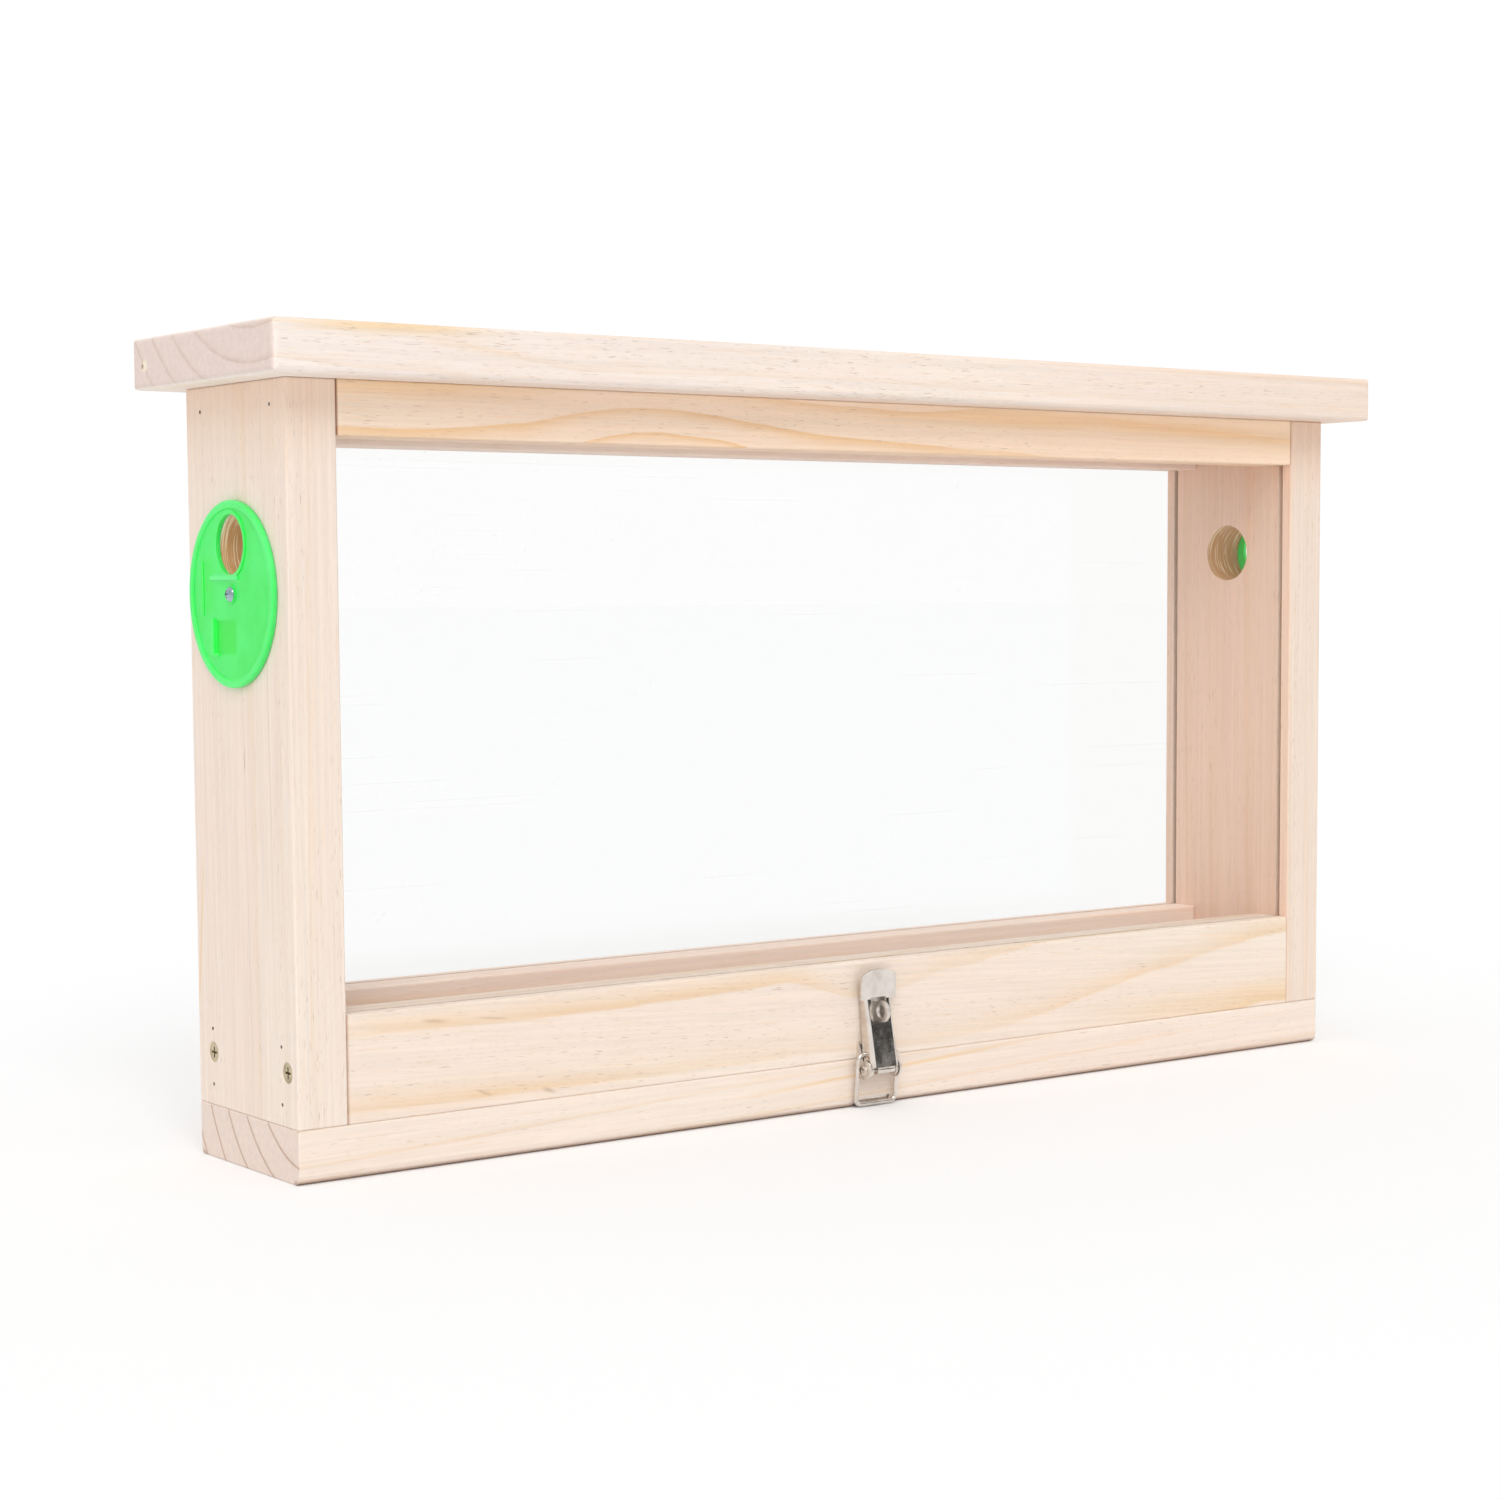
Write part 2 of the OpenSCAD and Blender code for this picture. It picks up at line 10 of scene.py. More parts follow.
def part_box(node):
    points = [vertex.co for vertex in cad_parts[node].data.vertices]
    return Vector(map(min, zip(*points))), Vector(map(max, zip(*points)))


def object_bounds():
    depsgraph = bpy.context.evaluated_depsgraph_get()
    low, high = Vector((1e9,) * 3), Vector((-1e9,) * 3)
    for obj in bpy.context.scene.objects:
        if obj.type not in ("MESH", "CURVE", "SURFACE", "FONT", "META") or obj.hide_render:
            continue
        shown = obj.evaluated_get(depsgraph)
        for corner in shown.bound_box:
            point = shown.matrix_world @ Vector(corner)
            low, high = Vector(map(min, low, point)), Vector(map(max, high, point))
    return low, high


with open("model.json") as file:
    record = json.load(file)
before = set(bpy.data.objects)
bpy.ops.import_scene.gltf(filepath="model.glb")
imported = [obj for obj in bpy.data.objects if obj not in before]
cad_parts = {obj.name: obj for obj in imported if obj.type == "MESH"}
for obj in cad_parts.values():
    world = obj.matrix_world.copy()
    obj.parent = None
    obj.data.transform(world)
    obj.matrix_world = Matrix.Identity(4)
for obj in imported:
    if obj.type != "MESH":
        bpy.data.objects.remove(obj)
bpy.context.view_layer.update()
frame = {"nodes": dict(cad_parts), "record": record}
NODES = frame["nodes"]
JOINT_AT = {joint["name"]: Vector(joint["pos_m"]) for joint in frame["record"]["behaviour"]["joints"]}

MM = 0.001

# ---------------------------------------------------------------- camera
# The photograph's view: from the front left, a little above the middle of the hive.
CAMERA_PLACE = Vector((-0.7262, -0.9512, 0.2123))
CAMERA_AZIMUTH = -36.89
CAMERA_ELEVATION = 4.47
CAMERA_ROLL = -0.30
CAMERA_LENS = 68.6
CAMERA_SHIFT = (-0.028, 0.041)
SENSOR = 36.0
CAMERA_REACH = 50.0


def add_camera():
    azimuth = math.radians(CAMERA_AZIMUTH)
    elevation = math.radians(CAMERA_ELEVATION)
    back = Vector((math.sin(azimuth) * math.cos(elevation), -math.cos(azimuth) * math.cos(elevation),
                   math.sin(elevation)))
    right = Vector((0, 0, 1)).cross(back).normalized()
    turn = Matrix.Rotation(math.radians(CAMERA_ROLL), 3, back)
    right = turn @ right
    up = back.cross(right)
    data = bpy.data.cameras.new("camera")
    data.lens = CAMERA_LENS
    data.sensor_width = SENSOR
    data.shift_x, data.shift_y = CAMERA_SHIFT
    data.clip_end = CAMERA_REACH
    camera = bpy.data.objects.new("camera", data)
    camera.matrix_world = Matrix.Translation(CAMERA_PLACE) @ Matrix((right, up, back)).transposed().to_4x4()
    bpy.context.scene.collection.objects.link(camera)
    bpy.context.scene.camera = camera


# ---------------------------------------------------------------- node graphs
class Graph:
    """One material's nodes. A value handed to a call is a number, a colour or another call's socket."""

    def __init__(self, name, world=None):
        """Starts the nodes of a new material with this name, or of the world that is given."""
        self.owner = world or bpy.data.materials.new(name)
        self.owner.use_nodes = True
        self.nodes = self.owner.node_tree.nodes
        self.links = self.owner.node_tree.links
        self.nodes.clear()
        self.output = self.nodes.new("ShaderNodeOutputWorld" if world else "ShaderNodeOutputMaterial")
        self.place = self.nodes.new("ShaderNodeTexCoord")

    def put(self, socket, value):
        """Links a socket to another, or sets it to a plain value."""
        if isinstance(value, bpy.types.NodeSocket):
            self.links.new(value, socket)
        elif value is not None:
            socket.default_value = value

    def math(self, kind, a, b=None, c=None, clamp=False):
        node = self.nodes.new("ShaderNodeMath")
        node.operation = kind
        node.use_clamp = clamp
        for socket, value in zip(node.inputs, (a, b, c)):
            self.put(socket, value)
        return node.outputs[0]

    def vector(self, x, y, z):
        node = self.nodes.new("ShaderNodeCombineXYZ")
        for socket, value in zip(node.inputs, (x, y, z)):
            self.put(socket, value)
        return node.outputs[0]

    def split(self, vector):
        node = self.nodes.new("ShaderNodeSeparateXYZ")
        self.put(node.inputs[0], vector)
        return node.outputs[0], node.outputs[1], node.outputs[2]

    def noise(self, vector, scale=1.0, detail=2.0, roughness=0.5):
        node = self.nodes.new("ShaderNodeTexNoise")
        self.put(node.inputs["Vector"], vector)
        self.put(node.inputs["Scale"], scale)
        self.put(node.inputs["Detail"], detail)
        self.put(node.inputs["Roughness"], roughness)
        return node

    def ramp(self, value, stops, course="LINEAR"):
        """A smooth number or colour from stops of (position, grey or colour)."""
        node = self.nodes.new("ShaderNodeValToRGB")
        node.color_ramp.interpolation = course
        self.put(node.inputs[0], value)
        points = node.color_ramp.elements
        while len(points) < len(stops):
            points.new(1.0)
        for point, (position, colour) in zip(points, stops):
            point.position = position
            point.color = (colour, colour, colour, 1) if isinstance(colour, (int, float)) else (*colour, 1)
        return node.outputs[0]

    def between(self, value, low, high, start=0.0, end=1.0):
        """value's place from low to high, eased, as a number from start to end."""
        node = self.nodes.new("ShaderNodeMapRange")
        node.interpolation_type = "SMOOTHSTEP"
        for socket, item in zip(node.inputs, (value, low, high, start, end)):
            self.put(socket, item)
        return node.outputs[0]

    def mix(self, factor, a, b, kind="MIX"):
        node = self.nodes.new("ShaderNodeMix")
        node.data_type = "RGBA"
        node.blend_type = kind
        self.put(node.inputs[0], factor)
        self.put(node.inputs[6], a if isinstance(a, bpy.types.NodeSocket) else (*a, 1))
        self.put(node.inputs[7], b if isinstance(b, bpy.types.NodeSocket) else (*b, 1))
        return node.outputs[2]

    def bump(self, height, strength, distance):
        node = self.nodes.new("ShaderNodeBump")
        self.put(node.inputs["Height"], height)
        self.put(node.inputs["Strength"], strength)
        self.put(node.inputs["Distance"], distance)
        return node.outputs[0]

    def surface(self, **inputs):
        """The Principled shader. Names are its sockets', with _ for a space."""
        node = self.nodes.new("ShaderNodeBsdfPrincipled")
        for name, value in inputs.items():
            if isinstance(value, tuple) and len(value) == 3 and "Radius" not in name:
                value = (*value, 1)
            self.put(node.inputs[name.replace("_", " ")], value)
        self.links.new(node.outputs[0], self.output.inputs["Surface"])
        return self.owner


# ---------------------------------------------------------------- pine
# Colours of the wood. TAN and PLAIN are tints.
CREAM = (0.875, 0.766, 0.673)
PINK = (0.866, 0.727, 0.634)
LATE_FACE = (0.80, 0.55, 0.30)
LATE_END = (0.46, 0.28, 0.18)
HONEY = (0.84, 0.58, 0.30)
RESIN = (0.36, 0.20, 0.11)
CANAL = (0.44, 0.30, 0.21)
END_GRAIN = (0.79, 0.656, 0.581)
BORED = (0.66, 0.38, 0.18)
BORED_PALE = (0.95, 0.80, 0.58)
TAN = (0.99, 0.925, 0.845)
PALE = (0.92, 0.82, 0.58)
PLAIN = (1.0, 1.0, 1.0)
# The bore, in millimetres as every length in the pine
BORE_RADIUS = 12.7
BORE_SKIN = (BORE_RADIUS + 0.08, BORE_RADIUS + 0.25)
# How far the bore through a post lies above the disc's screw
BORE_LIFT = 16.4
# Reach of the painted shade below the overhang, along the lower arrises and at the shaded joints
HEAD_LENGTH = 42.0
FOOT_HEIGHT = 2.6
JOINT_SHADE = 1.0
# How squarely a face looks along the board where it starts to show sawn rings and where it shows them
# fully, and the same for the inner face that takes painted shade and bounce light
END_TILT = (0.55, 0.9)
FACE_TILT = (0.5, 0.9)


class Pine(Graph):
    """Solid pine, worked out in millimetres from the middle of the board's box: s runs along the grain,
    u and v across it. Every face shows the figure that a saw would open there."""

    def __init__(self, node, along, seed, skew=0.0):
        super().__init__("pine_" + node)
        low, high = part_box(node)
        centre = (low + high) / 2
        self.half = (high - low) / 2 / MM
        x, y, z = (self.math("MULTIPLY", self.math("SUBTRACT", value, at), 1 / MM)
                   for value, at in zip(self.split(self.place.outputs["Object"]), centre))
        self.s, self.u, self.v = (x, y, z) if along == "x" else (z, x, y)
        nx, _, nz = self.split(self.place.outputs["Normal"])
        self.normal_x = nx
        reach = self.half[0 if along == "x" else 2]
        self.far = self.math("MULTIPLY_ADD", self.s, 0.5 / reach, 0.5)
        self.end = self.between(self.math("ABSOLUTE", nx if along == "x" else nz), *END_TILT)
        self.seed = seed
        self.leaning = self.math("MULTIPLY_ADD", self.s, -skew, self.v)

    def grain(self, along_scale, across_scale, shift):
        """Coordinates stretched along the fibres. shift keeps one use's noise apart from the next one's."""
        return self.vector(self.math("MULTIPLY_ADD", self.s, along_scale, self.seed + shift),
                           self.math("MULTIPLY", self.u, across_scale),
                           self.math("MULTIPLY", self.leaning, across_scale))

    def stretched(self, along_scale, across_scale, shift, detail=2.0):
        """Noise that is drawn out along the fibres."""
        return self.noise(self.grain(along_scale, across_scale, shift), detail=detail).outputs[0]

    def path(self, points):
        """A smooth height along the board through points of (place along, height)."""
        places, heights = zip(*points)
        base, span = min(heights), max(heights) - min(heights)
        length = places[-1] - places[0]
        along = self.math("MULTIPLY_ADD", self.s, 1 / length, -places[0] / length)
        level = self.ramp(along, [((place - places[0]) / length, (height - base) / span)
                                  for place, height in points], "CARDINAL")
        return self.math("MULTIPLY_ADD", level, span, base)

    def round_pith(self, pith, ring, wave, slope=0.0, drift=None):
        """Rings as circles round a pith line at (u, v), which climbs by slope and by the heights of drift."""
        wander = self.split(self.noise(self.grain(0.0042, 0.010, 0.0), detail=1.0).outputs["Color"])
        ripple = self.split(self.noise(self.grain(0.020, 0.07, 5.0), detail=2.0).outputs["Color"])
        across = self.math("MULTIPLY_ADD", self.math("SUBTRACT", wander[0], 0.5), 2.6 * wave,
                           self.math("SUBTRACT", self.u, pith[0]))
        rise = self.math("MULTIPLY_ADD", self.s, -slope, self.math("SUBTRACT", self.v, pith[1]))
        rise = self.math("MULTIPLY_ADD", self.math("SUBTRACT", wander[1], 0.5), 5.0 * wave, rise)
        if drift:
            rise = self.math("SUBTRACT", rise, self.path(drift))
        across = self.math("MULTIPLY_ADD", self.math("SUBTRACT", ripple[0], 0.5), 1.2, across)
        rise = self.math("MULTIPLY_ADD", self.math("SUBTRACT", ripple[1], 0.5), 1.2, rise)
        square = self.math("ADD", self.math("MULTIPLY", across, across), self.math("MULTIPLY", rise, rise))
        return self.math("DIVIDE", self.math("SQRT", square), ring)

    def between_edges(self, first, second, lean):
        """Rings whose edges cross the front face along two paths, leaning back into the board."""
        depth = self.math("ADD", self.u, float(self.half[1]))
        ripple = self.math("MULTIPLY_ADD", self.stretched(0.025, 0.10, 5.0), 2.4, -1.2)
        height = self.math("ADD", self.math("MULTIPLY_ADD", depth, lean, self.v), ripple)
        lower, upper = self.path(first), self.path(second)
        return self.math("DIVIDE", self.math("SUBTRACT", height, lower), self.math("SUBTRACT", upper, lower))

    def late_wood(self, turns, start):
        """How late in its ring the wood is: from start it deepens to a sharp edge."""
        place = self.math("FRACT", self.math("ADD", turns, 50.0))
        late = self.ramp(place, [(0.0, 0.0), (start, 0.03), ((1 + start) / 2, 0.35), (0.93, 0.95),
                                 (0.965, 1.0), (1.0, 0.0)])
        patchy = self.between(self.stretched(0.006, 0.035, 11.0), 0.3, 0.7, 0.35, 1.15)
        return self.math("MULTIPLY", late, self.math("MAXIMUM", patchy, self.end))

    def spot(self, place):
        """A soft long spot at (s, v), length, width, rise per unit along, strength."""
        at_s, at_v, length, width, rise, strength = place
        along = self.math("SUBTRACT", self.s, at_s)
        up = self.math("MULTIPLY_ADD", along, -rise, self.math("SUBTRACT", self.v, at_v))
        ragged = self.math("SUBTRACT", self.stretched(0.05, 0.5, 71.0), 0.5)
        up = self.math("MULTIPLY_ADD", ragged, 0.7 * width, up)
        past = self.math("POWER", self.math("ABSOLUTE", self.math("DIVIDE", along, length)), 3.0)
        beside = self.math("POWER", self.math("ABSOLUTE", self.math("DIVIDE", up, width)), 2.0)
        reach = self.math("ADD", past, beside)
        return self.math("MULTIPLY", self.math("EXPONENT", self.math("MULTIPLY", reach, -1.0)), strength)

    def spots(self, places):
        """The strongest of the spots at each point."""
        total = 0.0
        for place in places:
            total = self.math("MAXIMUM", self.spot(place), total)
        return total

    def dashes(self, thick):
        """Short resin canals in rows, where the grain is cut lengthwise."""
        rows = self.stretched(0.004, 0.13, 61.0)
        coarse = self.math("MULTIPLY", self.between(self.stretched(0.15, 1.7, 53.0, detail=1.0), 0.66, 0.72),
                           self.between(rows, 0.44, 0.62, thick / 4, thick))
        fine = self.math("MULTIPLY", self.between(self.stretched(0.20, 3.4, 59.0, detail=1.0), 0.64, 0.74),
                         self.between(rows, 0.40, 0.60, thick / 3, thick / 1.6))
        return self.math("MULTIPLY", self.math("MAXIMUM", coarse, fine), self.math("SUBTRACT", 1.0, self.end))

    def distance(self, s, u, v):
        """How far it is to a point, or to a line along the one coordinate that is given as None."""
        gap = [self.math("POWER", self.math("SUBTRACT", value, at), 2.0)
               for value, at in ((self.s, s), (self.u, u), (self.v, v)) if at is not None]
        total = gap[0]
        for more in gap[1:]:
            total = self.math("ADD", total, more)
        return self.math("SQRT", total)

    def pin_knot(self, colour, place):
        """A small brown knot with a pale halo on one side."""
        s, u, v, radius = place
        halo = self.between(self.distance(s, u - 1.8 * radius, v), radius, 3.0 * radius, 0.7, 0.0)
        core = self.between(self.distance(s, u, v), 0.6 * radius, 1.3 * radius, 0.8, 0.0)
        return self.mix(core, self.mix(halo, colour, PALE), RESIN)

    def bored(self, colour, height):
        """The wall of the bore that crosses the post at this height: darker, with the drill's rings."""
        off_axis = self.distance(height, None, 0.0)
        wall = self.between(off_axis, *BORE_SKIN, 1.0, 0.0)
        cut = self.noise(self.vector(self.math("MULTIPLY", self.u, 1.5), self.math("MULTIPLY", self.v, 0.07),
                                     self.math("MULTIPLY", self.s, 0.07)), detail=3.0).outputs[0]
        return self.mix(wall, colour, self.mix(self.between(cut, 0.50, 0.64), BORED, BORED_PALE))

    def tinted(self, mask, colour, tint):
        """The colour, multiplied by the tint where the mask says."""
        return self.mix(mask, colour, self.mix(1.0, colour, tint, "MULTIPLY"))

    def wood(self, late, contrast, warm, sawn, sawn_rings):
        """Early wood that deepens into late wood, on the faces and on the sawn ends."""
        drift = self.between(self.stretched(0.004, 0.03, 23.0), 0.35, 0.68)
        early = self.mix(self.math("MULTIPLY", drift, 0.75 + warm / 2), CREAM, PINK)
        early = self.mix(self.end, early, sawn)
        face = self.mix(self.math("MULTIPLY", late, contrast, clamp=True), early, LATE_FACE)
        ring = self.math("MULTIPLY", self.math("POWER", late, 1.8), sawn_rings, clamp=True)
        return self.mix(self.end, face, self.mix(ring, early, LATE_END))

    def stained(self, colour, honey, depth):
        """Honey-coloured streaks, which reach back as far as depth where it is given."""
        stain = self.spots(honey)
        if depth:
            back = self.math("ADD", self.u, float(self.half[1]))
            stain = self.math("MULTIPLY", stain, self.between(back, 0.0, depth, 1.0, 0.0))
        return self.mix(stain, colour, HONEY)

    def streaked(self, colour, fibre):
        """Fine tan hairs on the faces, and soft streaks along the fibres."""
        hair = self.between(self.stretched(0.045, 1.3, 83.0, detail=3.0), 0.50, 0.74, 0.0, 0.8)
        colour = self.tinted(self.math("MULTIPLY", hair, self.math("SUBTRACT", 1.0, self.end)), colour, TAN)
        streak = self.stretched(0.010, 0.6, 31.0, detail=3.0)
        value = self.math("ADD", self.between(streak, 0.3, 0.7, 0.955, 1.025),
                          self.between(fibre, 0.3, 0.7, -0.022, 0.022))
        return self.mix(1.0, colour, self.vector(value, value, value), "MULTIPLY")

    def edges(self, colour, head, foot, joint):
        """Painted shade below the overhang at a post's head, along lower arrises and in the end joints."""
        reach, depth, height = self.half
        # Painted shade below the top board's overhang, in the warm tone that shade takes there
        if head:
            top = self.between(self.s, height - HEAD_LENGTH, height)
            colour = self.tinted(top, colour, head)
        # Painted contact shade along the lower arrises, where the board meets the floor
        if foot:
            low = self.between(self.v, FOOT_HEIGHT - height, -height)
            outer = self.between(self.math("ABSOLUTE", self.u), depth - 2 * FOOT_HEIGHT, depth - FOOT_HEIGHT)
            colour = self.tinted(self.math("MULTIPLY", low, outer), colour, foot)
        # Painted shade in the joints where the rail ends meet the posts
        if joint:
            arris = self.between(self.math("ABSOLUTE", self.s), reach - JOINT_SHADE,
                                 reach - 0.2 * JOINT_SHADE)
            colour = self.tinted(arris, colour, joint)
        return colour

    def planed(self, colour, late, fibre, dashes):
        """The planed surface: late wood stands a little proud, resin canals and fibres are cut in."""
        cut_in = self.math("MULTIPLY_ADD", fibre, 0.45, self.math("MULTIPLY", dashes, -0.9))
        relief = self.math("MULTIPLY_ADD", late, 0.5, cut_in)
        hard = self.math("ADD", self.math("MULTIPLY", late, 0.5), fibre)
        return self.surface(Base_Color=colour, Roughness=self.between(hard, 0.3, 1.2, 0.66, 0.50),
                            Specular_IOR_Level=0.35, Normal=self.bump(relief, 0.35, 0.3 * MM))


def pine(node, along, rings, start=0.6, contrast=0.3, warm=0.3, dash=0.5, honey=(), stain_depth=None,
         knots=(), pins=(), bore=None, tints=(PLAIN, PLAIN), head=None, foot=None, joint=None, inner=None,
         sawn=END_GRAIN, sawn_rings=0.8, seed=0.0, skew=0.0):
    """rings is the call that numbers the rings and start the place in a ring where the late wood begins.
    honey and knots are long spots of deeper colour, stain_depth how far back the honey reaches, and pins
    are pin knots. tints multiply the colour from the board's low end to its high end, partly the wood's own
    tone and partly painted shade where the light falls off. head is painted shade at the top end below the
    overhang, foot painted contact shade along the lower arrises and joint painted shade at the arris of each
    end. inner, a side along X and a tint, is painted shade and warm bounce light on the face towards the
    comb."""
    g = Pine(node, along, seed, skew)
    kind, settings = rings
    late = g.late_wood(getattr(g, kind)(**settings), start)
    colour = g.wood(late, contrast, warm, sawn, sawn_rings)
    if honey:
        colour = g.stained(colour, honey, stain_depth)
    fibre = g.stretched(0.06, 6.0, 41.0)
    dashes = g.dashes(dash)
    colour = g.mix(dashes, g.streaked(colour, fibre), CANAL)
    if knots:
        colour = g.mix(g.spots(knots), colour, RESIN)
    for place in pins:
        colour = g.pin_knot(colour, place)
    # The wood's tone along the board, and painted shade where the light falls off towards one end
    colour = g.mix(1.0, colour, g.mix(g.far, *tints), "MULTIPLY")
    colour = g.edges(colour, head, foot, joint)
    # Painted shade and warm bounce light on the face towards the comb
    if inner:
        side, tint = inner
        colour = g.tinted(g.between(g.math("MULTIPLY", g.normal_x, side), *FACE_TILT), colour, tint)
    if bore is not None:
        colour = g.bored(colour, bore)
    return g.planed(colour, late, fibre, dashes)


# ---------------------------------------------------------------- metals, plastic and panes
TARNISH = (0.12, 0.09, 0.07)


def metal(name, colour, dull, roughness, grime, dents=0.12, seed=0.0):
    """Plated metal with fine scratches, soft wipe marks, shallow dents and a little tarnish."""
    g = Graph(name)
    place = g.place.outputs["Object"]
    x, y, z = g.split(place)
    wipes = g.noise(place, scale=160.0 + seed, detail=4.0, roughness=0.6).outputs[0]
    hair = g.noise(g.vector(g.math("MULTIPLY", x, 5.0), g.math("MULTIPLY", y, 5.0), z), scale=900.0,
                   detail=2.0).outputs[0]
    specks = g.noise(place, scale=1500.0, detail=1.0).outputs[0]
    tint = g.mix(g.between(wipes, 0.35, 0.75, 0.0, grime), colour, dull)
    tint = g.mix(g.math("MULTIPLY", g.between(specks, 0.68, 0.78), 0.5 * grime), tint, TARNISH)
    rough = g.math("ADD", g.between(wipes, 0.3, 0.75, roughness, roughness + 0.14),
                   g.between(hair, 0.55, 0.75, 0.0, 0.06))
    height = g.math("MULTIPLY_ADD", hair, 0.3, wipes)
    return g.surface(Base_Color=tint, Metallic=1.0, Roughness=rough, Normal=g.bump(height, dents, 0.0002))


# The plastic's colour, where the melt flowed slower, where it is thin, as a painted highlight on its rim
# and shelf, and in scuffs
GREEN = (0.022, 0.85, 0.085)
GREEN_FLOW = (0.060, 0.95, 0.15)
GREEN_THIN = (0.02, 0.92, 0.03)
GREEN_HIGHLIGHT = (0.16, 0.93, 0.32)
GREEN_SCUFF = (0.35, 0.95, 0.40)
# Places on the entrance disc in millimetres: behind its screw, above it
DISC_THIN = ((-3.3, 12.7), (-21.6, -9.6))
DISC_SHELF = ((-6.2, 15.8), (4.6, 7.4))
DISC_BACK = ((15.0, 24.0), (-6.0, 13.0))
DISC_RIM = (29.5, 33.0)


def green_plastic(name, screw, side):
    """Translucent moulded plastic: deeper where it is thin, with a painted highlight that makes its rim and
    its shelf paler, with flow marks and fine scuffs. screw is the disc's middle and side the way along Y
    that its ribs face."""
    g = Graph(name)
    place = g.place.outputs["Object"]
    _, y, z = g.split(place)
    behind = g.math("MULTIPLY", g.math("SUBTRACT", y, screw.y), side / MM)
    above = g.math("MULTIPLY", g.math("SUBTRACT", z, screw.z), 1 / MM)

    def within(area, blur):
        mask = 1.0
        for value, (low, high) in zip((behind, above), area):
            mask = g.math("MULTIPLY", mask, g.between(value, low - blur, low + blur))
            mask = g.math("MULTIPLY", mask, g.between(value, high - blur, high + blur, 1.0, 0.0))
        return mask

    flow = g.noise(place, scale=38.0, detail=3.0, roughness=0.55).outputs[0]
    grainy = g.noise(place, scale=900.0, detail=2.0).outputs[0]
    scuff = g.noise(place, scale=240.0, detail=5.0, roughness=0.7).outputs[0]
    square = g.math("ADD", g.math("MULTIPLY", behind, behind), g.math("MULTIPLY", above, above))
    radius = g.math("SQRT", square)
    colour = g.mix(g.between(flow, 0.32, 0.7), GREEN, GREEN_FLOW)
    deep = g.math("MAXIMUM", g.math("MULTIPLY", within(DISC_THIN, 1.8), 0.75),
                  g.math("MULTIPLY", within(DISC_BACK, 2.5), 0.45))
    colour = g.mix(deep, colour, GREEN_THIN)
    # Painted highlight: the rim and the top of the shelf below the opening are paler
    pale = g.math("MAXIMUM", within(DISC_SHELF, 0.5), g.between(radius, *DISC_RIM, 0.0, 0.5))
    colour = g.mix(g.math("MULTIPLY", pale, 0.6), colour, GREEN_HIGHLIGHT)
    colour = g.mix(g.math("MULTIPLY", g.between(scuff, 0.62, 0.8), 0.25), colour, GREEN_SCUFF)
    rough = g.math("ADD", g.between(flow, 0.3, 0.7, 0.30, 0.40), g.between(scuff, 0.55, 0.8, 0.0, 0.2))
    height = g.math("MULTIPLY_ADD", grainy, 0.25, flow)
    return g.surface(Base_Color=colour, Roughness=rough, Subsurface_Weight=0.45,
                     Subsurface_Radius=(0.3, 1.0, 0.35), Subsurface_Scale=0.004, IOR=1.49,
                     Normal=g.bump(height, 0.12, 0.0004))


# Share of light that one face of acrylic mirrors head on
HEAD_ON = 0.02
# Painted glow on the sheet's sawn edges, standing in for the light that the sheet pipes to them
EDGE_GLOW = (0.60, 0.40, 0.30)


